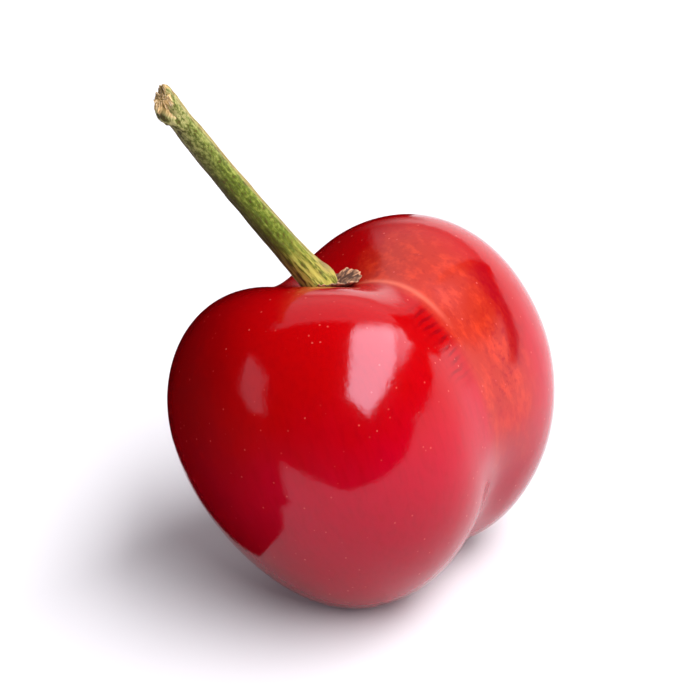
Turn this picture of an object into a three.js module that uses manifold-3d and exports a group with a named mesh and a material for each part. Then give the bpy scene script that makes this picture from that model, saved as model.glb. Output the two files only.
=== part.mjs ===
// A sweet cherry on its stalk, as picked: a ripe fruit of two lobes grown together, resting on a
// small flat on its underside, and the green stalk that stands in the hollow at its top.
//
// Row frame: millimetres, origin at the centre of the flat that the fruit rests on, +X to the
// right, +Y away from the front and +Z up.
// Fruit frame: origin at the fruit's middle, +X towards its front suture, +Y towards its far lobe
// and +Z along its own axis, out of the stalk hollow.

import * as THREE from 'three';
import { mergeVertices } from 'three/addons/utils/BufferGeometryUtils.js';
import Module from 'manifold-3d';

// The fruit's middle in the row frame, and how the fruit is turned about X, Y and Z, in degrees.
const FRUIT_MIDDLE = new THREE.Vector3(1.1, 2.5, 12.4);
const FRUIT_TURN = { x: -12.8, y: -16.1, z: -40.7 };

// Each lobe is an ellipsoid, set off from the fruit's middle.
const NEAR_LOBE = {
  centre: new THREE.Vector3(-0.39, -4.15, 0.24),
  semiAxes: new THREE.Vector3(12.66, 10.71, 13.59),
};
const FAR_LOBE = {
  centre: new THREE.Vector3(-0.43, 6.65, 0.44),
  semiAxes: new THREE.Vector3(10.73, 10.31, 12.87),
};

// How wide the lobes blend across the suture, in millimetres of difference between them: in a
// soft valley in front, in a tight fold low in front, and in a shallow groove behind. In front
// the suture leans towards the near lobe high up and towards the far lobe low down.
const SUTURE = {
  frontBlend: 6,
  lowBlend: 2.2,
  backBlend: 5,
  frontLean: 0.64,
  lowLean: -0.76,
  leanReach: 5,
  low: { from: -0.7, to: -0.2 },
};

// Round hollows and a swelling of the surface. Each has its direction from the fruit's middle,
// its depth in millimetres and its width in radians; the swelling's depth is negative.
const STALK_HOLLOW = { towards: new THREE.Vector3(0, 0, 1), depth: 3.13, width: 0.48 };
const APEX_DIMPLE = { towards: new THREE.Vector3(0, 0, -1), depth: 0.8, width: 0.35 };
const UNDERSIDE_SWELL = { towardsInRow: new THREE.Vector3(0.05, 0.15, -1), depth: -0.9, width: 0.3 };

// The fruit narrows from its shoulders down to its apex, and less so towards the front suture.
const TAPER = { amount: 0.122, frontRelief: 0.108, halfHeight: 12.5, power: 1.6 };

// The fruit's mesh: meridians round its axis, crowded towards the front suture, and rows.
const FRUIT_MESH = { meridians: 72, rows: 44, crowding: 0.4 };

// The stalk: its tip from its foot, the bow of its middle, and radii at distances from its foot.
const STALK_REACH = new THREE.Vector3(-12.38, -2.97, 18);
const STALK_BOW = new THREE.Vector3(-0.3, 1.3, -0.97);
const STALK_PROFILE = [
  { at: 1.3, radius: 1.22 },
  { at: 2.2, radius: 1.12 },
  { at: 3.9, radius: 1.06 },
  { at: 5.5, radius: 1 },
  { at: 7.2, radius: 0.98 },
  { at: 10.5, radius: 0.94 },
  { at: 13.9, radius: 0.92 },
  { at: 17.2, radius: 0.93 },
  { at: 18.8, radius: 0.86 },
  { at: 19.5, radius: 0.9 },
  { at: 20.1, radius: 0.86 },
  { at: 20.7, radius: 0.74 },
  { at: 21.3, radius: 0.6 },
  { at: 21.9, radius: 0.44 },
];
// Near its tip the stalk swells to one side.
const STALK_KNOB = { at: 20.3, length: 0.8, bulge: 0.45 };
const STALK_RIBS = { count: 5, height: 0.03 };
const STALK_SIDES = 24;

// The stalk is cut across at its tip, on a slant that faces the front.
const STALK_CUT = { slant: 0.3, towards: new THREE.Vector3(0, -0.88, 0.47), rimShare: 0.9 };

// The root of the stalk is a peg in a plain socket in the floor of the hollow.
const PEG = { radius: 0.62, chamfer: 0.12, depth: 1.2 };
const SOCKET = { clearance: 0.33, sides: 24 };

// The receptacle: a thin ragged collar round the stalk's foot, which follows the hollow's floor
// and runs out on one side in a longer tongue that curls up.
const COLLAR = {
  gap: 0.3,
  thickness: 0.4,
  innerRadius: 1.1,
  topInnerRadius: 1.4,
  radius: 1.9,
  undersideShare: 0.9,
  topShare: 0.92,
};
const TONGUE = { angle: -1.9, length: 1, rise: 0.6, power: 2 };
const TATTERS = [
  { count: 5, size: 0.14, phase: 1 },
  { count: 9, size: 0.1, phase: 2.4 },
];

// The slab that the fruit rests on, with its top at zero height, which cuts the flat.
const SLAB = { side: 40, thickness: 10 };

const wasm = await Module();
wasm.setup();

const fruitTurn = new THREE.Euler(
  THREE.MathUtils.degToRad(FRUIT_TURN.x),
  THREE.MathUtils.degToRad(FRUIT_TURN.y),
  THREE.MathUtils.degToRad(FRUIT_TURN.z),
  'XYZ',
);
const fruitToRow = new THREE.Quaternion().setFromEuler(fruitTurn);
const rowToFruit = fruitToRow.clone().invert();

const hollows = [
  STALK_HOLLOW,
  APEX_DIMPLE,
  { ...UNDERSIDE_SWELL, towards: UNDERSIDE_SWELL.towardsInRow.clone().applyQuaternion(rowToFruit) },
];

// Distance from the fruit's middle to the far side of a lobe.
function lobeDistance(direction, lobe) {
  const ray = direction.clone().divide(lobe.semiAxes);
  const offset = lobe.centre.clone().divide(lobe.semiAxes);
  const a = ray.lengthSq();
  const b = ray.dot(offset);
  const c = offset.lengthSq() - 1;
  return (b + Math.sqrt(b * b - a * c)) / a;
}

// The point of the fruit's surface in a direction from its middle, all in the fruit frame.
function fruitSurface(direction) {
  const near = lobeDistance(direction, NEAR_LOBE);
  const far = lobeDistance(direction, FAR_LOBE);
  const front = THREE.MathUtils.smoothstep(direction.x, -1, 1);
  const high = THREE.MathUtils.smoothstep(direction.z, SUTURE.low.from, SUTURE.low.to);
  const frontBlend = THREE.MathUtils.lerp(SUTURE.lowBlend, SUTURE.frontBlend, high);
  const blend = THREE.MathUtils.lerp(SUTURE.backBlend, frontBlend, front);
  const closeness = Math.exp(-(((near - far) / SUTURE.leanReach) ** 2));
  const lean = THREE.MathUtils.lerp(SUTURE.lowLean, SUTURE.frontLean, high) * closeness * front;
  const fromSuture = Math.abs(near - far - lean);
  const filled = Math.max(0, 1 - fromSuture / blend);
  let distance = (near + far + fromSuture) / 2 + (filled ** 2 * blend) / 4;
  for (const hollow of hollows) {
    const angle = direction.angleTo(hollow.towards);
    distance -= hollow.depth * Math.exp(-((angle / hollow.width) ** 2));
  }

  const point = direction.clone().multiplyScalar(distance);
  const lowness = THREE.MathUtils.clamp((1 - point.z / TAPER.halfHeight) / 2, 0, 1);
  const taper = TAPER.amount - (TAPER.frontRelief * point.x) / TAPER.halfHeight;
  const narrowing = 1 - taper * lowness ** TAPER.power;
  point.x *= narrowing;
  point.y *= narrowing;
  return point;
}

// The same surface, from a direction in the row frame to a point in the row frame.
function fruitSurfaceInRow(direction) {
  const local = direction.clone().normalize().applyQuaternion(rowToFruit);
  return fruitSurface(local).applyQuaternion(fruitToRow).add(FRUIT_MIDDLE);
}

// Keeps only the positions, with shared vertices merged.
function welded(geometry) {
  geometry.deleteAttribute('normal');
  geometry.deleteAttribute('uv');
  return mergeVertices(geometry);
}

function toSolid(geometry) {
  const closed = welded(geometry);
  return new wasm.Manifold(
    new wasm.Mesh({
      numProp: 3,
      vertProperties: new Float32Array(closed.attributes.position.array),
      triVerts: new Uint32Array(closed.index.array),
    }),
  );
}

function toGeometry(solid) {
  const mesh = solid.getMesh();
  const geometry = new THREE.BufferGeometry();
  geometry.setAttribute('position', new THREE.BufferAttribute(new Float32Array(mesh.vertProperties), 3));
  geometry.setIndex(new THREE.BufferAttribute(new Uint32Array(mesh.triVerts), 1));
  geometry.computeVertexNormals();
  return geometry;
}

// The stalk's centreline and the frame that its rings are laid out in.
const hollowAxis = STALK_HOLLOW.towards.clone().normalize().applyQuaternion(fruitToRow);
const foot = fruitSurfaceInRow(hollowAxis);
const hollowRadius = foot.distanceTo(FRUIT_MIDDLE);
const centreline = new THREE.QuadraticBezierCurve3(
  foot,
  foot.clone().addScaledVector(STALK_REACH, 0.5).add(STALK_BOW),
  foot.clone().add(STALK_REACH),
);
const stalkLength = centreline.getLength();
const sideways = STALK_REACH.clone().cross(STALK_BOW).normalize();

function ringFrame(at) {
  const along = THREE.MathUtils.clamp(at / stalkLength, 0, 1);
  const tangent = centreline.getTangentAt(along);
  const centre = centreline.getPointAt(along);
  if (at < 0) {
    centre.addScaledVector(tangent, at);
  }
  return { centre, tangent, across: sideways.clone().cross(tangent) };
}

// A point at an angle round the stalk, as a unit vector in a ring's plane.
function spoke(frame, angle) {
  return frame.across.clone().multiplyScalar(Math.cos(angle)).addScaledVector(sideways, Math.sin(angle));
}

// A section of the stalk or its peg.
function roundRing(at, radius, ribHeight, slant) {
  const frame = ringFrame(at);
  const swelling = STALK_KNOB.bulge * Math.exp(-(((at - STALK_KNOB.at) / STALK_KNOB.length) ** 2));
  return (angle, share) => {
    const ribbed = radius + ribHeight * Math.cos(STALK_RIBS.count * angle);
    const bulged = ribbed + (swelling * (1 + Math.sin(angle))) / 2;
    const out = spoke(frame, angle).multiplyScalar(bulged * share);
    const lift = -slant * out.dot(STALK_CUT.towards);
    return frame.centre.clone().add(out).addScaledVector(frame.tangent, lift);
  };
}

// A ring of the collar, at a height over the floor of the hollow; raggedness is the share of the
// rim's tatters and tongue that the ring takes.
function collarRing(radius, height, raggedness) {
  const frame = ringFrame(0);
  return (angle) => {
    const tongue = ((1 + Math.cos(angle - TONGUE.angle)) / 2) ** TONGUE.power;
    let tattered = TONGUE.length * tongue;
    for (const { count, size, phase } of TATTERS) {
      tattered += size * Math.sin(count * angle + phase);
    }
    const reach = radius + raggedness * tattered;
    const rise = height + raggedness * TONGUE.rise * tongue;
    const direction = hollowAxis.clone().addScaledVector(spoke(frame, angle), reach / hollowRadius);
    return fruitSurfaceInRow(direction).addScaledVector(hollowAxis, rise);
  };
}

function stalkRings() {
  const collarTop = COLLAR.gap + COLLAR.thickness;
  const rings = [
    roundRing(-PEG.depth, PEG.radius - PEG.chamfer, 0, 0),
    roundRing(PEG.chamfer - PEG.depth, PEG.radius, 0, 0),
    roundRing(0, PEG.radius, 0, 0),
    collarRing(COLLAR.innerRadius, COLLAR.gap, 0),
    collarRing(COLLAR.radius * COLLAR.undersideShare, COLLAR.gap, 1),
    collarRing(COLLAR.radius, COLLAR.gap + COLLAR.thickness / 2, 1),
    collarRing(COLLAR.radius * COLLAR.topShare, collarTop, 1),
    collarRing(COLLAR.topInnerRadius, collarTop, 0),
  ];
  for (const { at, radius } of STALK_PROFILE) {
    rings.push(roundRing(at, radius, STALK_RIBS.height, 0));
  }
  const rim = STALK_PROFILE.at(-1).radius * STALK_CUT.rimShare;
  rings.push(roundRing(stalkLength, rim, STALK_RIBS.height, STALK_CUT.slant));
  return rings;
}

function fruitSolid() {
  const geometry = new THREE.SphereGeometry(1, FRUIT_MESH.meridians, FRUIT_MESH.rows);
  geometry.rotateX(Math.PI / 2);
  const ball = welded(geometry);
  const position = ball.attributes.position;
  for (let i = 0; i < position.count; i += 1) {
    const direction = new THREE.Vector3().fromBufferAttribute(position, i).normalize();
    const meridian = Math.atan2(direction.y, direction.x);
    const crowded = meridian - FRUIT_MESH.crowding * Math.sin(meridian);
    direction.applyAxisAngle(new THREE.Vector3(0, 0, 1), crowded - meridian);
    const point = fruitSurface(direction).applyQuaternion(fruitToRow).add(FRUIT_MIDDLE);
    position.setXYZ(i, point.x, point.y, point.z);
  }

  const { centre, tangent } = ringFrame(0);
  const socketRadius = PEG.radius + SOCKET.clearance;
  const socketDepth = PEG.depth + SOCKET.clearance;
  const socket = new THREE.CylinderGeometry(socketRadius, socketRadius, 2 * socketDepth, SOCKET.sides);
  socket.applyQuaternion(new THREE.Quaternion().setFromUnitVectors(THREE.Object3D.DEFAULT_UP, tangent));
  socket.translate(centre.x, centre.y, centre.z);

  const slab = new THREE.BoxGeometry(SLAB.side, SLAB.side, SLAB.thickness);
  slab.translate(0, 0, -SLAB.thickness / 2);
  return toSolid(ball).subtract(toSolid(socket)).subtract(toSolid(slab));
}

function stalkGeometry() {
  const rings = stalkRings();
  const last = rings.length - 1;
  const tube = welded(new THREE.CylinderGeometry(1, 1, 1, STALK_SIDES, last));
  const position = tube.attributes.position;
  for (let i = 0; i < position.count; i += 1) {
    const ring = rings[Math.round((position.getY(i) + 0.5) * last)];
    const angle = Math.atan2(position.getX(i), position.getZ(i));
    const share = Math.hypot(position.getX(i), position.getZ(i));
    const point = ring(angle, share);
    position.setXYZ(i, point.x, point.y, point.z);
  }
  tube.computeVertexNormals();
  return tube;
}

const skinRed = new THREE.MeshStandardMaterial({ color: 0xb3121b, roughness: 0.22, metalness: 0 });
const stalkGreen = new THREE.MeshStandardMaterial({ color: 0x7a8f3e, roughness: 0.7, metalness: 0 });

const fruit = new THREE.Mesh(toGeometry(fruitSolid()), skinRed);
fruit.name = 'fruit';

const stalk = new THREE.Mesh(stalkGeometry(), stalkGreen);
stalk.name = 'stalk';

const cherry = new THREE.Group();
cherry.add(fruit, stalk);

export default cherry;
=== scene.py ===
import math

import bmesh
import bpy
from mathutils import Matrix, Vector, noise


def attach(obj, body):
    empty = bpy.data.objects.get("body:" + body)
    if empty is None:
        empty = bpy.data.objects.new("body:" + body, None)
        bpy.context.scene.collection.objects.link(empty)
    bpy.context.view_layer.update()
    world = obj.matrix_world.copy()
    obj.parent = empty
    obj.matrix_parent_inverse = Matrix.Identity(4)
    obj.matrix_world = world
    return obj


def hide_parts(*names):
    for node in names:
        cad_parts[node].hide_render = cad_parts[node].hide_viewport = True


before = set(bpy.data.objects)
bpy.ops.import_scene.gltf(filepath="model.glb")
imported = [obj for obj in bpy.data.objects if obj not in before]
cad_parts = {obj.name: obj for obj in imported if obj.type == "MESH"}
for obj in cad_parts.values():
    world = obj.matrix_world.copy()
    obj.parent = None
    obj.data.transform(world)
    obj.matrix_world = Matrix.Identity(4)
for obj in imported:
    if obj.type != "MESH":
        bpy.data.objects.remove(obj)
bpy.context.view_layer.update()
mm = 0.001  # every measure below is in millimetres unless its name says otherwise


def clamp(share):
    return max(0.0, min(1.0, share))


def smoothStep(value, low, high):
    share = clamp((value - low) / (high - low))
    return share * share * (3 - 2 * share)


def bell(value, middle, width):
    return math.exp(-(((value - middle) / width) ** 2))


def ripple(point, size, seed=0.0):
    # smooth noise from about -1 to 1 with features of that size
    return noise.noise(Vector(point) / size + Vector((seed, 2 * seed, -seed)))


class Value:
    # a shader socket that takes part in sums
    def __init__(self, finish, socket):
        self.finish = finish
        self.socket = socket

    def maths(self, operation, *others):
        sockets = dict(enumerate((self, *others)))
        return self.finish.add("ShaderNodeMath", {"operation": operation}, sockets)

    def __add__(self, other):
        return self.maths("ADD", other)

    __radd__ = __add__

    def __sub__(self, other):
        return self.maths("SUBTRACT", other)

    def __rsub__(self, other):
        return self.finish.number(other).maths("SUBTRACT", self)

    def __mul__(self, other):
        return self.maths("MULTIPLY", other)

    __rmul__ = __mul__

    def __truediv__(self, other):
        return self.maths("DIVIDE", other)

    def __neg__(self):
        return self.maths("MULTIPLY", -1.0)

    def rise(self, low, high):
        # 0 below low, 1 above high and smooth between
        settings = {"interpolation_type": "SMOOTHSTEP"}
        sockets = {"Value": self, "From Min": low, "From Max": high}
        return self.finish.add("ShaderNodeMapRange", settings, sockets)

    def fall(self, low, high):
        return 1 - self.rise(low, high)

    def band(self, start, full, fading, end):
        # 1 from full to fading, 0 before start and past end
        return self.rise(start, full) * self.fall(fading, end)

    def hump(self, middle, width):
        # 1 at the middle and fading to 0 on both sides
        offset = (self - middle) / width
        return (-(offset * offset)).maths("EXPONENT")

    def output(self, name):
        # another output of the same node
        return Value(self.finish, self.socket.node.outputs[name])


class Finish:
    # the nodes of one material, or of the world
    def __init__(self, owner):
        self.owner = owner
        owner.use_nodes = True
        self.tree = owner.node_tree
        self.tree.nodes.clear()

    def add(self, kind, settings=None, sockets=None, output=0):
        node = self.tree.nodes.new(kind)
        for key, setting in (settings or {}).items():
            setattr(node, key, setting)
        for key, value in (sockets or {}).items():
            if isinstance(value, Value):
                self.tree.links.new(value.socket, node.inputs[key])
            else:
                node.inputs[key].default_value = value
        return Value(self, node.outputs[output]) if node.outputs else None

    def number(self, value):
        return self.add("ShaderNodeMath", {"operation": "ADD"}, {0: value, 1: 0.0})

    def blend(self, factor, first, second):
        # sockets 6 and 7 and output 2 are the Mix node's colours
        settings = {"data_type": "RGBA"}
        return self.add("ShaderNodeMix", settings, {0: factor, 6: first, 7: second}, 2)

    def noise(self, place, scale, detail, roughness):
        sockets = {"Vector": place, "Scale": scale, "Detail": detail, "Roughness": roughness}
        return self.add("ShaderNodeTexNoise", None, sockets)

    def stretchedNoise(self, place, scales, detail, roughness):
        stretched = self.add("ShaderNodeMapping", None, {"Vector": place, "Scale": scales})
        return self.noise(stretched, 1.0, detail, roughness)

    def attribute(self, name, output="Fac"):
        return self.add("ShaderNodeAttribute", {"attribute_name": name}, None, output)

    def separate(self, place):
        parts = self.add("ShaderNodeSeparateXYZ", None, {"Vector": place})
        return [parts.output(axis) for axis in "XYZ"]

    def dot(self, first, second):
        settings = {"operation": "DOT_PRODUCT"}
        return self.add("ShaderNodeVectorMath", settings, {0: first, 1: second}, "Value")

    def bump(self, height, distance):
        sockets = {"Height": height, "Distance": distance * mm, "Strength": 1.0}
        return self.add("ShaderNodeBump", None, sockets)

    def close(self, shader, sockets, end="ShaderNodeOutputMaterial"):
        # the shader itself, on the last node
        self.add(end, None, {"Surface": self.add(shader, None, sockets)})
        return self


def newFinish(name):
    return Finish(bpy.data.materials.new(name))


def colour(red, green, blue):
    # a display colour, 0 to 255, as the linear colour that shaders take
    def linear(part):
        share = part / 255
        return share / 12.92 if share <= 0.04045 else ((share + 0.055) / 1.055) ** 2.4

    return (linear(red), linear(green), linear(blue), 1.0)


def linearShades(shades):
    return {name: colour(*shade) for name, shade in shades.items()}


def addObject(name, build, finish):
    mesh = bpy.data.meshes.new(name)
    build.to_mesh(mesh)
    build.free()
    mesh.materials.append(finish.owner)
    added = bpy.data.objects.new(name, mesh)
    bpy.context.scene.collection.objects.link(added)
    return added


def finishPiece(name, build, finish, node):
    piece = addObject(name, build, finish)
    piece.data.shade_smooth()
    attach(piece, "root")
    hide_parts(node)
    print(name, "has", len(piece.data.polygons), "faces")


# The fruit: two ellipsoids joined along a fold, with a hollow round the stalk. Its own frame has
# x to the front suture, y to the far lobe and z to the stalk.
fruit = {
    "middle": Vector((1.1, 2.5, 12.4)),
    "turnDegrees": (-12.8, -16.1, -40.7),
    "nearCentre": Vector((-0.39, -4.15, 0.24)),
    "nearAxes": Vector((12.66, 10.71, 13.59)),
    "farCentre": Vector((-0.43, 6.65, 0.44)),
    "farAxes": Vector((10.73, 10.31, 12.87)),
    "frontBlend": 6.0,  # how widely the lobes join in front, low in front and behind
    "lowBlend": 3.0,
    "backBlend": 5.0,
    "foldShift": 0.64,  # how far the front fold lies off the lobes' meeting, high and low
    "lowFoldShift": -0.76,
    "foldReach": 5.0,
    "lowFoldEnds": (-0.7, -0.2),  # z of a unit direction
    "stalkHollow": (3.13, 0.48),  # depth, and width in radians
    "apexDimple": (0.8, 0.35),
    "undersideSwell": (-0.9, 0.3),
    "swellTowards": Vector((0.05, 0.15, -1)),
    "taper": 0.122,
    "frontRelief": 0.108,
    "taperPower": 1.6,
    "halfHeight": 12.5,
    "meridians": 288,
    "rows": 180,
    "crowding": 0.4,  # how much closer the meridians stand near the front suture
    "socketDepth": 1.5,
    "socketWall": (0.8, 1.0),
    "waviness": 0.05,
    "wavinessSize": 5.0,
    "scarRadius": 0.55,
    "scarDepth": 0.1,
    "shades": {
        "scarlet": (162, 1, 4),
        "crimson": (172, 0, 28),
        # painted shade: the deeper red of the sides, back and underside
        "paintedShade": (106, 0, 4),
        "deep": (122, 0, 8),
        "streak": (140, 0, 14),
        "orange": (162, 37, 19),
        "bright": (196, 54, 26),
        "salmon": (226, 112, 88),
        "lenticel": (206, 84, 74),
        "scar": (150, 96, 62),
    },
    # noises: the scale per millimetre, the detail and the roughness
    "patches": ((0.22, 0.22, 0.13), 3.0, 0.5),
    "grain": ((1.5, 1.5, 0.9), 4.0, 0.65),
    "threads": ((2.6, 2.6, 0.5), 3.0, 0.6),
    "brushed": ((0.9, 0.9, 0.4), 4.0, 0.7),
    "cloud": (0.4, 3.0, 0.6),
    "specks": (2.0, 2.0, 0.5),
    "uneven": (0.8, 2.0, 0.5),
    "pores": (3.2, 2.0, 0.5),
    "dashNoise": (1.0, 0.5, 0.5),
    # where each tone begins and ends, in the fruit's own millimetres, and how strong it is; Shown
    # gives the two levels of a noise between which a tone comes up
    "patchShift": 10,
    "scarletHeights": (-3.0, 7.0),
    # painted shade, darker towards the back and sides
    "paintedShadePatchShift": 4,
    "paintedShadePlaces": (-5.0, 4.5),
    "paintedShadeStrength": 0.65,
    # painted shade, darker towards the underside
    "paintedShadeLowHeights": (-9.0, 1.0),
    "paintedShadeLowStrength": 0.3,
    "grainShown": (0.5, 0.75),
    "grainStrength": 0.3,
    "threadsShown": (0.25, 0.6),
    "threadStrength": 0.2,
    "paleAcross": (-10.0, -3.5, 0.6, 2.6),
    "paleFrontShift": 2,
    "paleFront": (1.0, 5.0),
    "paleSide": (5.5, 9.5),
    "paleHeightShift": 6,
    "paleHeights": (-5.0, 4.0),
    "paleStrength": 0.95,
    "brushedShown": (0.45, 0.65),
    "brushedStrength": 0.6,
    "deepShown": (0.32, 0.46),
    "deepStrength": 0.3,
    "streakPlace": 7.7,
    "streakBowBelow": 8,
    "streakBow": 0.006,
    "streakRagged": 3,
    "streakWidth": 1.05,
    "streakHeights": (0.4, 2.2, 8.0, 9.4),
    "streakFront": (5.0, 7.5),
    "streakThreads": 0.28,  # how much of the streak shows in its threads alone
    "streakThreadsShown": (0.35, 0.6),
    "streakStrength": 0.95,
    "specksShown": (0.54, 0.64),
    "speckSide": (-1.2, 2.2),  # from the streak
    "speckHeight": (2.2, 3.6),
    "speckFront": (7.0, 9.0),
    "speckStrength": 0.75,
    "dashNoiseStretch": (1.9, 0.35),  # along the suture and across it
    "dashRate": 9.5,
    "dashLean": 0.9,
    "dashWander": 9,
    "dashEdges": (-0.3, 0.8),
    "dashPlace": (3.4, 1.25),
    "dashRagged": 3,
    "dashHeights": (2.0, 4.0, 8.0, 9.0),
    "dashFront": (5.0, 8.0),
    "dashStrength": 0.75,
    "linePlace": (0.8, 0.42),
    "lineFront": (1.0, 4.0),
    "lineHeights": (5.5, 9.0),
    "lineStrength": 0.45,
    "lenticelScale": 1.25,
    "lenticelSize": (0.05, 0.13),
    "lenticelShare": (0.15, 0.7),
    "lenticelStrength": 0.6,
    "scarReach": (0.35, 0.75),
    "scarHeights": (-9.0, -7.0),
    # gloss and relief
    "roughness": 0.09,
    "unevenRoughness": 0.05,
    "foldPlace": (0.5, 2.2),
    "foldRoughness": 0.16,
    "lowFoldHeights": (-4.0, 1.0),
    "edgePlace": (4.0, 2.5),
    "edgeRoughness": 0.16,
    "streakRoughness": 0.03,
    "streakBlur": 1.6,
    "paleRoughness": 0.06,
    "roughestFold": 0.255,
    "scarRoughness": 0.5,
    "reliefShares": (0.5, 0.3, 0.08),  # of the unevenness, the grain and the pores
    "reliefDepth": 0.03,
    "dashRelief": 0.12,
    "scarRelief": 2,
    "refraction": 1.43,
    "specularTint": (0.84, 0.8, 1.0, 1.0),
    "fleshGlow": 0.2,  # light scattered under the skin
    "fleshGlowColours": (1.0, 0.25, 0.15),
    "fleshGlowReach": 1.5,
}


def turnMatrix(degrees):
    x, y, z = (Matrix.Rotation(math.radians(d), 3, axis) for d, axis in zip(degrees, "XYZ"))
    return x @ y @ z


fruitTurn = turnMatrix(fruit["turnDegrees"])
fruitHollows = [
    (Vector((0, 0, 1)), fruit["stalkHollow"]),
    (Vector((0, 0, -1)), fruit["apexDimple"]),
    (fruitTurn.inverted() @ fruit["swellTowards"].normalized(), fruit["undersideSwell"]),
]


def lobeDistance(direction, centre, axes):
    # from the fruit's middle to the far side of a lobe
    ray = Vector(d / a for d, a in zip(direction, axes))
    offset = Vector(c / a for c, a in zip(centre, axes))
    a = ray.length_squared
    b = ray.dot(offset)
    c = offset.length_squared - 1
    return (b + math.sqrt(b * b - a * c)) / a


def lobeDistances(direction):
    # how much further the near lobe reaches than the far one, and the mean of both
    near = lobeDistance(direction, fruit["nearCentre"], fruit["nearAxes"])
    far = lobeDistance(direction, fruit["farCentre"], fruit["farAxes"])
    return near - far, (near + far) / 2


def foldShares(direction):
    # 1 in front and 0 behind, and 1 high and 0 in the low fold
    return smoothStep(direction.x, -1, 1), smoothStep(direction.z, *fruit["lowFoldEnds"])


def fromFold(direction):
    # positive on the near lobe, zero in the fold and negative on the far lobe
    difference = lobeDistances(direction)[0]
    front, high = foldShares(direction)
    shift = fruit["lowFoldShift"] + (fruit["foldShift"] - fruit["lowFoldShift"]) * high
    return difference - shift * bell(difference, 0, fruit["foldReach"]) * front


def fruitSurface(direction):
    # the skin's point in a direction from the middle, all in the fruit's own frame
    mean = lobeDistances(direction)[1]
    front, high = foldShares(direction)
    frontBlend = fruit["lowBlend"] + (fruit["frontBlend"] - fruit["lowBlend"]) * high
    blend = fruit["backBlend"] + (frontBlend - fruit["backBlend"]) * front
    fromSeam = abs(fromFold(direction))
    filled = max(0.0, 1 - fromSeam / blend)
    distance = mean + fromSeam / 2 + filled * filled * blend / 4
    for towards, (depth, width) in fruitHollows:
        distance -= depth * bell(direction.angle(towards), 0, width)
    distance += fruit["waviness"] * ripple(direction * fruit["halfHeight"], fruit["wavinessSize"])

    point = direction * distance
    lowness = clamp((1 - point.z / fruit["halfHeight"]) / 2)
    taper = fruit["taper"] - fruit["frontRelief"] * point.x / fruit["halfHeight"]
    narrowing = 1 - taper * lowness ** fruit["taperPower"]
    point.x *= narrowing
    point.y *= narrowing
    return point


def inPlace(point):
    # from the fruit's own frame to the object's
    return fruitTurn @ point + fruit["middle"]


def fruitPoint(direction):
    # a point of the skin where the fruit lies, with the stalk's socket and the style scar
    point = fruitSurface(direction)
    reach = math.hypot(point.x, point.y)
    if direction.z > 0:
        point.z -= fruit["socketDepth"] * (1 - smoothStep(reach, *fruit["socketWall"]) ** 2)
    else:
        point.z -= fruit["scarDepth"] * bell(reach, 0, fruit["scarRadius"])
    place = inPlace(point)
    place.z = max(place.z, 0.0)
    return place


def buildFruit():
    build = bmesh.new()
    bmesh.ops.create_uvsphere(
        build, u_segments=fruit["meridians"], v_segments=fruit["rows"], radius=1
    )
    suture = build.verts.layers.float.new("suture")
    for vertex in build.verts:
        direction = vertex.co.normalized()
        meridian = math.atan2(direction.y, direction.x)
        crowd = Matrix.Rotation(-fruit["crowding"] * math.sin(meridian), 3, "Z")
        direction = crowd @ direction
        vertex[suture] = fromFold(direction)
        vertex.co = fruitPoint(direction) * mm
    bmesh.ops.recalc_face_normals(build, faces=build.faces)
    return build


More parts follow.
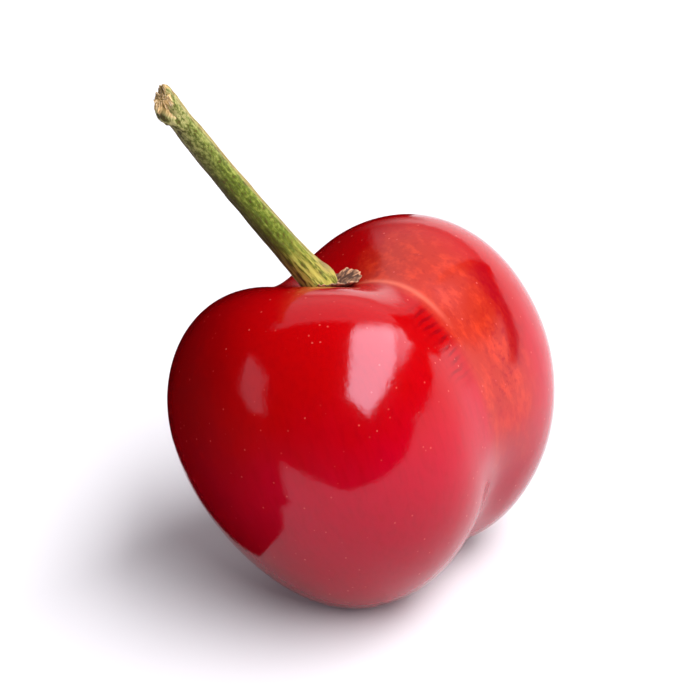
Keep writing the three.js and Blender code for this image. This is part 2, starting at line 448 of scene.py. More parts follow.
def skinFinish():
    finish = newFinish("cherrySkin")
    shades = linearShades(fruit["shades"])
    place = finish.add(
        "ShaderNodeMapping",
        {"vector_type": "TEXTURE"},
        {
            "Vector": finish.add("ShaderNodeTexCoord", output="Object"),
            "Location": fruit["middle"] * mm,
            "Rotation": fruitTurn.to_euler("XYZ"),
            "Scale": (mm, mm, mm),
        },
    )
    x, y, z = finish.separate(place)
    across = finish.attribute("suture")
    around = z.maths("ARCTAN2", x) * fruit["halfHeight"]
    reach = (x * x + y * y).maths("SQRT")

    # scarlet shoulders, a crimson lower half, and painted shade: a deeper red round the sides, back and
    # underside
    patches = finish.stretchedNoise(place, *fruit["patches"]) - 0.5
    scarlet = (z + patches * fruit["patchShift"]).rise(*fruit["scarletHeights"])
    base = finish.blend(scarlet, shades["crimson"], shades["scarlet"])
    paintedShade = (x + patches * fruit["paintedShadePatchShift"]).fall(*fruit["paintedShadePlaces"])
    base = finish.blend(paintedShade * fruit["paintedShadeStrength"], base, shades["paintedShade"])
    # painted shade, darker towards the underside
    low = z.fall(*fruit["paintedShadeLowHeights"])
    base = finish.blend(low * fruit["paintedShadeLowStrength"], base, shades["paintedShade"])

    # fine mottling, drawn out along the meridians
    grain = finish.stretchedNoise(place, *fruit["grain"])
    threads = finish.stretchedNoise(place, *fruit["threads"])
    grained = grain.rise(*fruit["grainShown"]) * fruit["grainStrength"]
    base = finish.blend(grained, base, shades["scarlet"])
    threaded = threads.fall(*fruit["threadsShown"]) * fruit["threadStrength"]
    base = finish.blend(threaded, base, shades["deep"])

    # the paler skin of the far lobe beside the suture
    cloud = finish.noise(place, *fruit["cloud"])
    pale = across.band(*fruit["paleAcross"]) * y.fall(*fruit["paleSide"])
    pale = pale * (x + cloud * fruit["paleFrontShift"]).rise(*fruit["paleFront"])
    pale = pale * (z + cloud * fruit["paleHeightShift"]).rise(*fruit["paleHeights"])
    base = finish.blend(pale * fruit["paleStrength"], base, shades["orange"])
    brushed = finish.stretchedNoise(place, *fruit["brushed"]).rise(*fruit["brushedShown"])
    base = finish.blend(pale * brushed * fruit["brushedStrength"], base, shades["bright"])
    deep = pale * grain.fall(*fruit["deepShown"]) * fruit["deepStrength"]
    base = finish.blend(deep, base, shades["deep"])

    # a deep red streak down the far lobe, with dark specks round its lower end
    below = (fruit["streakBowBelow"] - z).maths("MAXIMUM", 0.0)
    bowed = below * below * below * fruit["streakBow"]
    ragged = (cloud - 0.5) + (grain - 0.5) * fruit["streakRagged"]
    fromStreak = y - fruit["streakPlace"] + bowed + ragged
    streakReach = z.band(*fruit["streakHeights"]) * x.rise(*fruit["streakFront"])
    streak = fromStreak.hump(0.0, fruit["streakWidth"]) * streakReach
    threaded = threads.rise(*fruit["streakThreadsShown"]) * fruit["streakThreads"]
    streak = streak * (1 - fruit["streakThreads"] + threaded)
    base = finish.blend(streak * fruit["streakStrength"], base, shades["streak"])
    specks = finish.noise(place, *fruit["specks"]).rise(*fruit["specksShown"])
    specks = specks * fromStreak.hump(*fruit["speckSide"])
    specks = specks * z.hump(*fruit["speckHeight"]) * x.rise(*fruit["speckFront"])
    base = finish.blend(specks * fruit["speckStrength"], base, shades["streak"])

    # short dark dashes across the near side of the suture
    lengthways, crossways = fruit["dashNoiseStretch"]
    stretched = {"X": around * lengthways, "Y": across * crossways}
    stripes = finish.add("ShaderNodeCombineXYZ", None, stretched)
    dashNoise = finish.noise(stripes, *fruit["dashNoise"]) - 0.5
    wave = around * fruit["dashRate"] + across * fruit["dashLean"] + cloud * fruit["dashWander"]
    dashes = wave.maths("SINE").rise(*fruit["dashEdges"])
    dashes = dashes * (across + dashNoise * fruit["dashRagged"]).hump(*fruit["dashPlace"])
    dashes = dashes * z.band(*fruit["dashHeights"]) * x.rise(*fruit["dashFront"])
    base = finish.blend(dashes * fruit["dashStrength"], base, shades["deep"])

    # the pale line in the suture near the stalk
    line = across.hump(*fruit["linePlace"]) * x.rise(*fruit["lineFront"]) * z.rise(*fruit["lineHeights"])
    base = finish.blend(line * fruit["lineStrength"], base, shades["salmon"])

    # lenticels: fine pale dots
    cells = finish.add("ShaderNodeTexVoronoi", None, {"Vector": place, "Scale": fruit["lenticelScale"]})
    cellRed = finish.add("ShaderNodeSeparateColor", None, {"Color": cells.output("Color")})
    dots = cells.fall(*fruit["lenticelSize"]) * cellRed.rise(*fruit["lenticelShare"])
    base = finish.blend(dots * fruit["lenticelStrength"], base, shades["lenticel"])

    # the dried style scar at the apex
    scar = reach.fall(*fruit["scarReach"]) * z.fall(*fruit["scarHeights"])
    base = finish.blend(scar, base, shades["scar"])

    # a gloss that is duller in the fold, and a relief that is calm in its lower end
    uneven = finish.noise(place, *fruit["uneven"])
    lowFold = z.fall(*fruit["lowFoldHeights"])
    inFold = across.hump(*fruit["foldPlace"])
    roughness = (
        fruit["roughness"]
        + uneven * fruit["unevenRoughness"]
        + inFold * fruit["foldRoughness"]
        + across.hump(*fruit["edgePlace"]) * lowFold * fruit["edgeRoughness"]
        + fromStreak.hump(0.0, fruit["streakBlur"]) * streakReach * fruit["streakRoughness"]
        + pale * fruit["paleRoughness"]
    )
    roughness = roughness.maths("MINIMUM", fruit["roughestFold"]) + scar * fruit["scarRoughness"]
    unevenShare, grainShare, poreShare = fruit["reliefShares"]
    pores = finish.noise(place, *fruit["pores"])
    relief = uneven * unevenShare + grain * grainShare + pores * poreShare
    relief = relief * (1 - inFold * lowFold) - dashes * fruit["dashRelief"]
    relief = relief + scar * grain * fruit["scarRelief"]
    return finish.close(
        "ShaderNodeBsdfPrincipled",
        {
            "Base Color": base,
            "Roughness": roughness,
            "Normal": finish.bump(relief, fruit["reliefDepth"]),
            "IOR": fruit["refraction"],
            "Specular Tint": fruit["specularTint"],
            "Subsurface Weight": fruit["fleshGlow"],
            "Subsurface Radius": fruit["fleshGlowColours"],
            "Subsurface Scale": fruit["fleshGlowReach"] * mm,
        },
    )


finishPiece("cherryFruit", buildFruit(), skinFinish(), "fruit")

# The stalk: a bowed, ribbed stem with a root in the fruit and a torn end. Its sections are
# placed by their distance from the foot, and an angle runs round each.
stalk = {
    "reach": Vector((-12.38, -2.97, 18.0)),  # from the foot to the tip
    "bow": Vector((-0.3, 1.3, -0.97)),
    "profile": [  # distance from the foot and radius
        (-1.2, 0.5),
        (-1.05, 0.62),
        (-0.1, 0.62),
        (0.35, 1.22),
        (1.3, 1.22),
        (2.2, 1.12),
        (3.9, 1.06),
        (5.5, 1.0),
        (7.2, 0.98),
        (10.5, 0.94),
        (13.9, 0.92),
        (17.2, 0.92),
        (18.9, 0.84),
        (19.8, 0.88),
        (20.6, 0.84),
        (21.3, 0.76),
        (22.2, 0.46),
    ],
    "pegDepth": 1.2,
    "sides": 84,
    "rows": 300,
    "roughFrom": (0.2, 1.0),  # over these distances the smooth peg turns into rough skin
    "footFlare": 0.2,  # how far the foot spreads towards the collar
    "flarePlace": (0.8, 1.6),
    "ribs": 5,
    "ribHeight": 0.04,
    "ribTwist": 0.12,
    "fineRibs": 17,
    "fineRibHeight": 0.016,
    "fineRibTwist": -0.2,
    "fineRibsFade": (12, 20),
    "roughPlace": (2, 0.6),  # how fast the noises run round the stalk and along it
    "bumpHeight": 0.03,
    "bumpSize": 0.8,
    "skinEnd": 19.75,  # above it the wood of the torn end is bare
    "skinClimb": 2.2,  # how much higher the skin stays on the side away from the lip
    "climbAngle": 4.2,
    "climbSpan": (0.2, 0.8),  # spans are cosines between which a form begins and is full
    "skinWave": 0.9,
    "skinWaveSize": 0.9,
    "skinSoftness": 0.1,
    "lipClimb": 1.1,
    "lipAngle": 1.95,  # where round the stalk the skin curls outwards
    "lipSpan": (0.4, 0.75),
    "lipSlant": 1.2,  # how much lower the lip starts at the front
    "lipSlantAngles": (1.7, 2.9),
    "lipShape": [(19.5, 0.0), (19.8, 0.26), (20.3, 0.34), (20.9, 0.24), (21.3, 0.0)],
    "lipWave": 0.5,
    "lipWaveSize": 0.4,
    "lipUncutTo": 20.9,
    "cleftAngle": 2.62,
    "cleftWidth": 0.22,
    "cleftDepth": 0.2,
    "cleftRise": 0.6,
    "fibreHeight": 0.2,
    "fibreSizes": (0.28, 0.5),  # round the end and on the cut
    "fibreStretch": (3.2, 0.25, 0.5),  # across the cut, along the end and along the cut
    "cutAngle": 2.12,  # which way the slanting cut of the torn end faces
    "cutAllows": (0.85, 0.02),  # how far the wood may stand out that way, low and high
    "lipAllows": 4,
    "cutSoftness": 0.12,
    "leanAway": (0.12, 0.16),  # how far the bare end stands off the axis, low and high
    "frayedEnd": 1.4,
    "ragged": 0.4,
    "raggedPlace": 1.7,
    "raggedSize": 0.5,
    "hollowed": 0.8,
    "tipDrop": 0.7,
    "tipSlant": 0.45,
    "shades": {
        "green": (98, 116, 24),
        "dark": (62, 70, 10),
        "light": (142, 146, 66),
        # painted shade for the far side of the stalk
        "paintedShade": (52, 40, 8),
        # a tan tone, partly a painted highlight of the lit edge
        "tanAndPaintedHighlight": (176, 140, 88),
        "foot": (186, 172, 82),
        "brown": (92, 70, 26),
        "dry": (166, 156, 104),
        "wood": (216, 178, 122),
        "bright": (250, 224, 186),
        "olive": (124, 100, 42),
        "stain": (104, 62, 54),
    },
    "broad": ((2.0, 2.0, 0.3), 3.0, 0.5),
    "streaks": ((5.5, 5.5, 0.8), 4.0, 0.65),
    "specks": ((4.0, 4.0, 2.6), 3.0, 0.6),
    "fibres": ((5.5, 5.5, 0.8), 3.0, 0.6),
    # where each tone begins and ends; Side is across the stalk, as a share of its radius
    "granularHeights": (2.0, 12.0),
    "granularShares": (0.3, 0.35),  # low down, and added higher up
    "greenShown": (0.36, 0.6),
    "lightShown": (0.5, 0.66),
    "lightStrength": 0.8,
    "brownShown": (0.34, 0.42),
    "brownStrength": 0.6,
    # painted shade on the far side, and on the other a tan tone that is partly a painted highlight
    "paintedShadeSide": (0.1, 0.95),
    "paintedShadeStrength": 0.7,
    "tanAndPaintedHighlightSide": (0.45, 0.95),
    "tanAndPaintedHighlightShown": (0.3, 0.5),
    "tanAndPaintedHighlightStrength": 0.5,
    "footHeights": (1.5, 7.0),
    "footShown": (0.4, 0.56),
    "footStrength": 0.85,
    "footBrownShown": (0.36, 0.46),
    "stainPlace": (2.0, 0.8),
    "stainSide": (0.3, 0.8),
    "stainShown": (0.35, 0.6),
    "stainStrength": 0.8,
    "woodShown": (0.38, 0.54),
    "brightShown": (0.54, 0.66),
    "driedHeights": (12.0, 19.0),
    "rimHeights": (18.4, 19.6),
    "driedShown": (0.4, 0.6),
    "driedStrength": 0.4,
    "roughness": 0.45,
    "streakRoughness": 0.2,
    "woodRoughness": 0.2,
    "reliefShares": (0.4, 0.5, 0.25),  # of the broad noise, the streaks and the specks
    "reliefDepth": 0.09,
    "specular": 0.25,
    "down": 0.25,  # the sheen of fine hairs
    "downRoughness": 0.35,
    "downTint": (1.0, 0.78, 0.6, 1.0),
}


def along(profile, place):
    # a smooth curve through the profile's points
    for (start, first), (end, second) in zip(profile, profile[1:]):
        if place <= end:
            return first + (second - first) * smoothStep(place, start, end)
    return profile[-1][1]


hollowAxis = fruitTurn @ Vector((0, 0, 1))
stalkFoot = inPlace(fruitSurface(Vector((0, 0, 1))))
stalkTip = stalkFoot + stalk["reach"]
stalkBend = stalkFoot + stalk["reach"] / 2 + stalk["bow"]
stalkSideways = stalk["reach"].cross(stalk["bow"]).normalized()
stalkLength = stalk["profile"][-1][0]
cutFacing = Vector((math.cos(stalk["cutAngle"]), math.sin(stalk["cutAngle"])))


def stalkFrame(place):
    # the centre of the section at a distance from the foot, and one of its spokes; the other
    # is stalkSideways
    t = clamp(place / stalkLength)
    centre = stalkFoot * (1 - t) ** 2 + stalkBend * 2 * t * (1 - t) + stalkTip * t**2
    tangent = ((stalkBend - stalkFoot) * (1 - t) + (stalkTip - stalkBend) * t).normalized()
    centre += tangent * (min(place, 0.0) + max(place - stalkLength, 0.0))
    return centre, stalkSideways.cross(tangent).normalized()


def stalkRadius(place, angle, rough):
    # the radius of the green stalk; rough is a place for its noises
    shown = smoothStep(place, *stalk["roughFrom"])
    radius = along(stalk["profile"], place)
    flare = bell(place, *stalk["flarePlace"]) * max(0.0, -math.sin(angle)) ** 2
    radius += shown * stalk["footFlare"] * flare
    rib = math.cos(stalk["ribs"] * angle + stalk["ribTwist"] * place)
    radius += shown * stalk["ribHeight"] * rib
    fineRib = math.cos(stalk["fineRibs"] * angle + stalk["fineRibTwist"] * place)
    fineRib *= 1 - smoothStep(place, *stalk["fineRibsFade"]) / 2
    radius += shown * stalk["fineRibHeight"] * fineRib
    return radius + shown * stalk["bumpHeight"] * ripple(rough, stalk["bumpSize"], seed=3.0)


def stalkPoint(place, angle):
    # a point of the stalk, and how bare its wood is there
    roundIt, alongIt = stalk["roughPlace"]
    rough = Vector((math.cos(angle) * roundIt, math.sin(angle) * roundIt, place * alongIt))
    radius = stalkRadius(place, angle, rough)

    # the skin's edge, which climbs on one side and curls into a lip on the other
    lip = smoothStep(math.cos(angle - stalk["lipAngle"]), *stalk["lipSpan"])
    lipPlace = place + stalk["lipSlant"] * smoothStep(angle, *stalk["lipSlantAngles"])
    climb = smoothStep(math.cos(angle - stalk["climbAngle"]), *stalk["climbSpan"])
    skinEdge = stalk["skinEnd"] + stalk["skinClimb"] * climb + stalk["lipClimb"] * lip
    skinEdge += stalk["skinWave"] * ripple(rough, stalk["skinWaveSize"], seed=11.0)
    bare = smoothStep(place - skinEdge, -stalk["skinSoftness"], stalk["skinSoftness"])
    wave = 1 + stalk["lipWave"] * ripple(rough, stalk["lipWaveSize"], seed=2.0)
    radius += along(stalk["lipShape"], lipPlace) * lip * wave

    # the cleft in the wood, and its fibres
    cleft = smoothStep(place, stalk["skinEnd"], stalk["skinEnd"] + stalk["cleftRise"])
    cleft *= bell(angle, stalk["cleftAngle"], stalk["cleftWidth"])
    radius -= stalk["cleftDepth"] * cleft
    endSize, cutSize = stalk["fibreSizes"]
    acrossCut, alongEnd, alongCut = stalk["fibreStretch"]
    fibre = ripple((rough.x, rough.y, place * alongEnd), endSize, seed=7.0)
    radius += stalk["fibreHeight"] / 2 * bare * fibre

    # the slanting cut
    a = radius * math.cos(angle)
    b = radius * math.sin(angle)
    share = clamp((place - stalk["skinEnd"]) / (stalkLength - stalk["skinEnd"]))
    depth = a * cutFacing.x + b * cutFacing.y
    low, high = stalk["cutAllows"]
    fibre = ripple((a * acrossCut, b * acrossCut, place * alongCut), cutSize, seed=7.0)
    allowed = low + (high - low) * share + stalk["fibreHeight"] * fibre
    allowed += stalk["lipAllows"] * lip * (lipPlace < stalk["lipUncutTo"])
    if share > 0 and depth > allowed:
        bare = max(bare, smoothStep(depth - allowed, 0.0, stalk["cutSoftness"]))
        a -= (depth - allowed) * cutFacing.x
        b -= (depth - allowed) * cutFacing.y
    low, high = stalk["leanAway"]
    b -= low * smoothStep(share, 0.0, 0.5) + high * smoothStep(share, 0.5, 1.0)
    centre, across = stalkFrame(place)
    return centre + across * a + stalkSideways * b, bare


def buildStalk():
    build = bmesh.new()
    bmesh.ops.create_cone(
        build, cap_ends=True, cap_tris=True, segments=stalk["sides"], radius1=1, radius2=1, depth=1
    )
    sides = [edge for edge in build.edges if abs(edge.verts[0].co.z - edge.verts[1].co.z) > 0.5]
    bmesh.ops.subdivide_edges(build, edges=sides, cuts=stalk["rows"] - 1, use_grid_fill=True)
    bareLayer = build.verts.layers.float.new("bare")
    placeLayer = build.verts.layers.float_vector.new("straightened")
    for vertex in build.verts:
        place = (vertex.co.z + 0.5) * (stalkLength + stalk["pegDepth"]) - stalk["pegDepth"]
        angle = math.atan2(vertex.co.y, vertex.co.x)
        share = min(1.0, math.hypot(vertex.co.x, vertex.co.y))
        spoke = Vector((math.cos(angle), math.sin(angle), 0.0))
        frayed = smoothStep(place, stalkLength - stalk["frayedEnd"], stalkLength)
        place -= frayed * (stalk["tipDrop"] + stalk["tipSlant"] * share * math.sin(angle))
        fray = ripple(spoke * stalk["raggedPlace"], stalk["raggedSize"], seed=4.0) * share
        fray -= stalk["hollowed"] * (1 - share)
        place += stalk["ragged"] * frayed * fray
        rim, bare = stalkPoint(place, angle)
        centre = stalkPoint(place, angle + math.pi)[0].lerp(rim, 0.5)
        vertex[placeLayer] = spoke * share + Vector((0, 0, place))
        vertex[bareLayer] = bare if share > 0.5 else 1.0
        vertex.co = (centre + (rim - centre) * share) * mm
    bmesh.ops.recalc_face_normals(build, faces=build.faces)
    return build


def stalkFinish():
    finish = newFinish("greenStalk")
    shades = linearShades(stalk["shades"])
    place = finish.attribute("straightened", "Vector")
    bare = finish.attribute("bare")
    side, height = finish.separate(place)[1:]
    broad = finish.stretchedNoise(place, *stalk["broad"])
    streaks = finish.stretchedNoise(place, *stalk["streaks"])
    specks = finish.stretchedNoise(place, *stalk["specks"])

    # green skin, streaked low down and granular higher up, with painted shade on the far side and a tan
    # tone, partly a painted highlight, on the other
    lowShare, addedShare = stalk["granularShares"]
    granular = height.rise(*stalk["granularHeights"]) * addedShare + lowShare
    mottle = (broad + streaks) * 0.5 * (1 - granular) + specks * granular
    base = finish.blend(mottle.rise(*stalk["greenShown"]), shades["dark"], shades["green"])
    light = mottle.rise(*stalk["lightShown"]) * stalk["lightStrength"]
    base = finish.blend(light, base, shades["light"])
    brown = specks.fall(*stalk["brownShown"]) * stalk["brownStrength"]
    base = finish.blend(brown, base, shades["brown"])
    paintedShade = side.rise(*stalk["paintedShadeSide"]) * stalk["paintedShadeStrength"]
    base = finish.blend(paintedShade, base, shades["paintedShade"])
    # a tan tone that is partly a painted highlight of the lit edge
    tanAndPaintedHighlight = (-side).rise(*stalk["tanAndPaintedHighlightSide"]) * streaks.rise(*stalk["tanAndPaintedHighlightShown"])
    base = finish.blend(tanAndPaintedHighlight * stalk["tanAndPaintedHighlightStrength"], base, shades["tanAndPaintedHighlight"])

    # the yellow and brown foot, with a stain beside the collar
    foot = height.fall(*stalk["footHeights"])
    yellow = foot * streaks.rise(*stalk["footShown"]) * stalk["footStrength"]
    base = finish.blend(yellow, base, shades["foot"])
    brown = foot * streaks.fall(*stalk["footBrownShown"]) * stalk["brownStrength"]
    base = finish.blend(brown, base, shades["brown"])
    stain = (-side).rise(*stalk["stainSide"]) * height.hump(*stalk["stainPlace"])
    stain = stain * streaks.rise(*stalk["stainShown"])
    base = finish.blend(stain * stalk["stainStrength"], base, shades["stain"])

    # the bare wood of the torn end, and the dried edge of the skin round it
    fibres = finish.stretchedNoise(place, *stalk["fibres"])
    wood = finish.blend(fibres.rise(*stalk["woodShown"]), shades["olive"], shades["wood"])
    wood = finish.blend(fibres.rise(*stalk["brightShown"]), wood, shades["bright"])
    dried = height.rise(*stalk["driedHeights"]) + height.rise(*stalk["rimHeights"])
    dried = dried * specks.rise(*stalk["driedShown"])
    base = finish.blend(dried * stalk["driedStrength"], base, shades["dry"])
    base = finish.blend(bare, base, wood)

    roughness = stalk["roughness"] + streaks * stalk["streakRoughness"] + bare * stalk["woodRoughness"]
    broadShare, streakShare, speckShare = stalk["reliefShares"]
    relief = broad * broadShare + streaks * streakShare + specks * speckShare + fibres * bare
    return finish.close(
        "ShaderNodeBsdfPrincipled",
        {
            "Base Color": base,
            "Roughness": roughness,
            "Normal": finish.bump(relief, stalk["reliefDepth"]),
            "Specular IOR Level": stalk["specular"],
            "Sheen Weight": stalk["down"],
            "Sheen Roughness": stalk["downRoughness"],
            "Sheen Tint": stalk["downTint"],
        },
    )


finishPiece("cherryStalk", buildStalk(), stalkFinish(), "stalk")

# The receptacle: a thin ragged collar of dried tissue round the stalk's foot, drawn out into a
# tongue on one side.
receptacle = {
    "innerRadius": 0.95,
    "radius": 1.05,
    "gap": 0.03,
    "lift": 4,  # how many gaps higher the rim lies
    "thickness": 0.42,
    "rimThickness": 0.16,
    "tongueAngle": -2.35,
    "tongueLength": 2.3,
    "tongueRise": 0.1,
    "tongueCurl": 1.5,  # the power by which it rises towards its tip
    "tattersLength": 0.25,
    "tattersPlace": 2.2,
    "tattersSizes": (0.75, 0.28),
    "fineTatters": 0.6,
    "wrinkles": 0.2,
    "wrinkleSizes": (0.3, 0.35),  # of those that run outwards and of those scattered over it
    "wrinkleRates": (3.0, 0.3, 2),  # how fast their noises run round, outwards and over it
    "scatteredWrinkles": 0.5,
    "wrinkleLift": 0.4,
    "wrinklesOnTop": 0.4,  # how much stronger they are there than at the edge
    "sectionSides": 28,
    "steps": 150,
    "shades": {
        "dark": (76, 46, 36),
        "brown": (142, 100, 76),
        "cream": (214, 158, 122),
    },
    "crumbs": (2200, 3.0, 0.6),  # scale per metre, detail and roughness
    "brownShown": (0.42, 0.62),
    "edgePlace": (0.88, 1.0),
    "edgeShown": (0.4, 0.6),
    "ridgeShown": (0.75, 1.0),
    "creamStrength": 0.75,
    "roughness": 0.6,
    "crumbRoughness": 0.2,
    "reliefDepth": 0.1,
}
collarAcross = stalkFrame(0)[1]
hollowRadius = (stalkFoot - fruit["middle"]).length


def receptaclePoint(angle, turn):
    # angle goes round the stalk and turn goes round the section, from the rim over the top
    tongue = ((1 + math.cos(angle - receptacle["tongueAngle"])) / 2) ** 2
    spin = Vector((math.cos(angle), math.sin(angle), 0.0))
    coarse, fine = receptacle["tattersSizes"]
    tatters = ripple(spin * receptacle["tattersPlace"], coarse, seed=2.0)
    tatters += receptacle["fineTatters"] * ripple(spin * receptacle["tattersPlace"], fine, seed=5.0)
    rim = receptacle["radius"] + receptacle["tongueLength"] * tongue
    rim += receptacle["tattersLength"] * tatters
    outward = (1 + math.cos(turn)) / 2
    reach = receptacle["innerRadius"] + (rim - receptacle["innerRadius"]) * outward
    radial, scattered = receptacle["wrinkleSizes"]
    roundRate, outwardRate, scatterRate = receptacle["wrinkleRates"]
    ridge = ripple(spin * roundRate + Vector((0, 0, reach * outwardRate)), radial, seed=9.0)
    scatter = ripple(spin * reach * scatterRate, scattered, seed=1.0)
    ridge += receptacle["scatteredWrinkles"] * scatter

    thinning = receptacle["rimThickness"] - receptacle["thickness"]
    thickness = receptacle["thickness"] + thinning * outward
    height = receptacle["gap"] + thickness * (1 + math.sin(turn)) / 2
    height += receptacle["tongueRise"] * tongue * outward ** receptacle["tongueCurl"]
    height += receptacle["gap"] * receptacle["lift"] * outward
    onTop = receptacle["wrinklesOnTop"]
    wrinkle = (ridge + receptacle["wrinkleLift"]) * (1 - onTop + onTop * math.sin(turn))
    height += receptacle["wrinkles"] * wrinkle * outward

    spoke = collarAcross * math.cos(angle) + stalkSideways * math.sin(angle)
    direction = fruitTurn.inverted() @ (hollowAxis + spoke * reach / hollowRadius)
    floor = inPlace(fruitSurface(direction.normalized()))
    return floor + hollowAxis * height, outward, ridge


def buildReceptacle():
    build = bmesh.new()
    ringRadius = 2  # of the plain ring that the collar is shaped from, whose section is 1
    upright = Matrix.Rotation(math.radians(-90), 4, "X")
    bmesh.ops.create_circle(
        build,
        segments=receptacle["sectionSides"],
        radius=1,
        matrix=Matrix.Translation((ringRadius, 0, 0)) @ upright,
    )
    bmesh.ops.spin(
        build,
        geom=build.verts[:] + build.edges[:],
        cent=(0, 0, 0),
        axis=(0, 0, 1),
        angle=math.tau,
        steps=receptacle["steps"],
        use_merge=True,
    )
    rimLayer = build.verts.layers.float.new("rim")
    ridgeLayer = build.verts.layers.float.new("ridge")
    for vertex in build.verts:
        angle = math.atan2(vertex.co.y, vertex.co.x)
        turn = math.atan2(vertex.co.z, math.hypot(vertex.co.x, vertex.co.y) - ringRadius)
        place, vertex[rimLayer], vertex[ridgeLayer] = receptaclePoint(angle, turn)
        vertex.co = place * mm
    bmesh.ops.recalc_face_normals(build, faces=build.faces)
    return build


def receptacleFinish():
    finish = newFinish("driedReceptacle")
    shades = linearShades(receptacle["shades"])
    place = finish.add("ShaderNodeTexCoord", output="Object")
    rim = finish.attribute("rim")
    ridge = finish.attribute("ridge")
    crumbs = finish.noise(place, *receptacle["crumbs"])
    base = finish.blend(crumbs.rise(*receptacle["brownShown"]), shades["dark"], shades["brown"])
    edge = rim.rise(*receptacle["edgePlace"]) * crumbs.rise(*receptacle["edgeShown"])
    edge = edge + (ridge + crumbs).rise(*receptacle["ridgeShown"])
    edge = edge.maths("MINIMUM", 1.0)
    base = finish.blend(edge * receptacle["creamStrength"], base, shades["cream"])
    return finish.close(
        "ShaderNodeBsdfPrincipled",
        {
            "Base Color": base,
            "Roughness": receptacle["roughness"] + crumbs * receptacle["crumbRoughness"],
            "Normal": finish.bump(crumbs, receptacle["reliefDepth"]),
        },
    )


finishPiece("cherryReceptacle", buildReceptacle(), receptacleFinish(), "stalk")

# The studio: a pale floor, black cards that only reflections meet, and an air that holds the lamps.
studio = {
    "lookAt": Vector((0.0, 2.5, 18.0)),
    "elevationDegrees": 28,
    "lens": 400,
    "frameWidth": 51.5,
    "farClip": 20,  # metres
    "floorSize": 8000,
    "floorColour": (0.58, 0.57, 0.6, 1),
    "floorRoughness": 0.9,
    "floorGlow": (0.07, 0.055, 0.065, 1),  # keeps the shadow pale, as bounced light would
    "cards": {
        "leftFlag": [(-17, -22, 0), (-17, 32, 0), (-17, 32, 37), (-17, -22, 13)],
        "shadeCard": [
            (-17, -19, 0.1),
            (-12, -13, 0.1),
            (-9.5, -4, 0.1),
            (-14, 8, 0.1),
            (-17, 12, 0.1),
        ],
        "backCard": [
            (-4.8, 8, 12),
            (-4.8, 8, 24),
            (-6.8, 8, 29.3),
            (-7.3, 8, 32.3),
            (-13.7, 8, 39.5),
            (-30, 8, 60),
            (-80, 8, 60),
            (-80, 8, 12),
        ],
        "floorCard": [(6, 20, 0.1), (6, 3900, 0.1), (-2000, 3900, 0.1), (-200, 20, 0.1)],
        "farCard": [
            (14.2, 7.9, 26.1),
            (15.9, 6.4, 23.9),
            (17.0, 5.4, 22.2),
            (17.7, 4.2, 20.4),
            (17.9, 2.6, 18.0),
            (17.7, 3.2, 17.4),
            (17.4, 5.5, 19.2),
            (16.7, 6.7, 21.0),
            (15.6, 7.7, 22.7),
            (13.8, 9.6, 24.6),
        ],
        "sideCard": [
            (15.3, 1.8, 31.7),
            (12.4, 5.3, 32.0),
            (9.8, 8.0, 32.4),
            (12.9, 11.3, 27.4),
            (14.7, 12.7, 24.8),
            (20.1, 5.5, 24.8),
        ],
        "frontFlag": [
            (-400, -52, 0),
            (-2, -52, 0),
            (25, -52, 9.5),
            (34, -52, 16),
            (34, -52, 30),
            (-400, -52, 30),
        ],
    },
    # a white backdrop behind, cut by four planes: each has its direction and soft edge
    "backdropEdges": [
        ((0, 1, -0.28), (-0.03, 0.03)),
        ((1, 0, 0.5), (-0.2, -0.14)),
        ((-0.57, 1, -0.2), (-0.03, 0.03)),
        ((-1.12, 1, 0), (-0.04, 0.04)),
    ],
    "backdropLowest": 0.12,
    "backdropHeights": (0.2, 0.6),
    "backdropRadiance": 1.0,
    # a low white board at the right
    "boardFace": (0.75, 0.54, -1),
    "boardEdge": (0.0, 0.1),
    "boardTop": (0.3, 0.36),
    "boardLeft": (-0.33, 0.1),
    "boardFullFrom": (-0.05, 0.1),
    "boardBottom": (0.02, 0.22),
    "boardRadiance": 1.6,
    # three lit windows: each corner's azimuth and elevation in degrees, in order
    "windows": [
        {
            "corners": [(53, 74), (50, 41), (98, 46.5), (122, 43.5), (138, 37), (160, 26.5), (175, 38.6)],
            "softness": [0.12, 0.03, 0.02, 0.02, 0.02, 0.02, 0.02],
            "radiance": 13.0,
        },
        {
            "corners": [(50, 41), (45, 27), (50, 27), (104, 45)],
            "softness": [0.03, 0.02, 0.02, 0.03],
            "radiance": 5.0,
        },
        {
            "corners": [(-90, 34), (-117, 31), (-126.5, -1), (-106, 11)],
            "softness": [0.03, 0.02, 0.02, 0.02],
            "radiance": 1.4,
        },
    ],
    "roomRadiance": 0.01,
    "fillRadiance": 0.12,
}


def addFloor():
    build = bmesh.new()
    bmesh.ops.create_grid(build, x_segments=1, y_segments=1, size=studio["floorSize"] / 2 * mm)
    finish = newFinish("floorPaper").close(
        "ShaderNodeBsdfPrincipled",
        {
            "Base Color": studio["floorColour"],
            "Roughness": studio["floorRoughness"],
            "Emission Color": studio["floorGlow"],
            "Emission Strength": 1.0,
        },
    )
    addObject("studioFloor", build, finish)


def addCards():
    black = newFinish("blackCard").close("ShaderNodeBsdfDiffuse", {"Color": (0.0, 0.0, 0.0, 1)})
    for name, corners in studio["cards"].items():
        build = bmesh.new()
        verts = [build.verts.new(Vector(corner) * mm) for corner in corners]
        bmesh.ops.contextual_create(build, geom=verts)
        card = addObject(name, build, black)
        card.visible_camera = False
        card.visible_diffuse = False
        card.visible_shadow = False


def facing(azimuth, elevation):
    # a direction from the fruit, in degrees; azimuth runs from +Y, behind, towards +X, the right
    a = math.radians(azimuth)
    e = math.radians(elevation)
    return Vector((math.sin(a) * math.cos(e), math.cos(a) * math.cos(e), math.sin(e)))


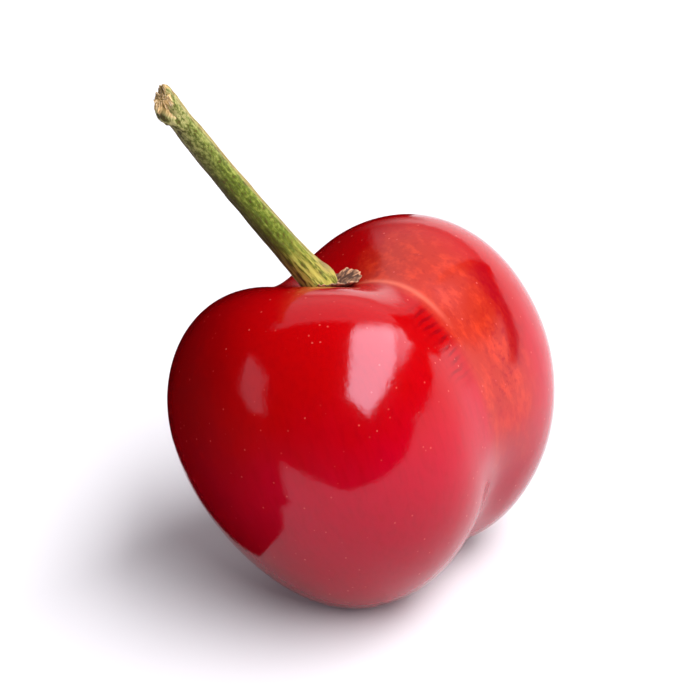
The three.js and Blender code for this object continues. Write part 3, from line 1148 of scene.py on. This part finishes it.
def windowLight(finish, direction, window):
    # the light of a flat-sided window of the sky
    corners = [facing(*corner) for corner in window["corners"]]
    middle = sum(corners, Vector())
    light = window["radiance"]
    for first, second, softness in zip(corners, corners[1:] + corners[:1], window["softness"]):
        side = first.cross(second).normalized()
        if side.dot(middle) < 0:
            side.negate()
        light = finish.dot(direction, side).rise(-softness, softness) * light
    return light


def addAir():
    air = bpy.data.worlds.new("studioAir")
    bpy.context.scene.world = air
    finish = Finish(air)
    direction = finish.add("ShaderNodeTexCoord", output="Generated")
    x, _, z = finish.separate(direction)

    backdrop = studio["backdropRadiance"]
    for edge, softness in studio["backdropEdges"]:
        backdrop = finish.dot(direction, edge).rise(*softness) * backdrop
    lowest = studio["backdropLowest"]
    backdrop = backdrop * (lowest + (1 - lowest) * z.rise(*studio["backdropHeights"]))

    board = finish.dot(direction, studio["boardFace"]).rise(*studio["boardEdge"])
    board = board * z.fall(*studio["boardTop"]) * x.rise(*studio["boardLeft"])
    bottom = z.rise(*studio["boardBottom"])
    board = board * x.rise(*studio["boardFullFrom"]).maths("MAXIMUM", bottom)

    seen = backdrop.maths("MAXIMUM", board * studio["boardRadiance"]) + studio["roomRadiance"]
    for window in studio["windows"]:
        seen = seen + windowLight(finish, direction, window)

    # the camera itself sees plain white
    fromCamera = finish.add("ShaderNodeLightPath", output="Is Camera Ray")
    diffuse = fromCamera.output("Is Diffuse Ray")
    strength = seen + fromCamera * (1 - seen) + diffuse * studio["fillRadiance"]
    finish.close("ShaderNodeBackground", {"Strength": strength}, "ShaderNodeOutputWorld")


def addCamera():
    lens = bpy.data.cameras.new("studioCamera")
    lens.lens = studio["lens"]
    lens.clip_end = studio["farClip"]
    camera = bpy.data.objects.new("studioCamera", lens)
    bpy.context.scene.collection.objects.link(camera)
    angle = math.radians(studio["elevationDegrees"])
    back = Vector((0, -math.cos(angle), math.sin(angle)))
    distance = studio["frameWidth"] * studio["lens"] / lens.sensor_width
    camera.location = (studio["lookAt"] + back * distance) * mm
    camera.rotation_euler = back.to_track_quat("Z", "Y").to_euler()
    bpy.context.scene.camera = camera


bpy.context.scene.view_settings.view_transform = "Standard"
addFloor()
addCards()
addAir()
addCamera()
print("studio has", len(studio["cards"]), "cards and", len(studio["windows"]), "windows")
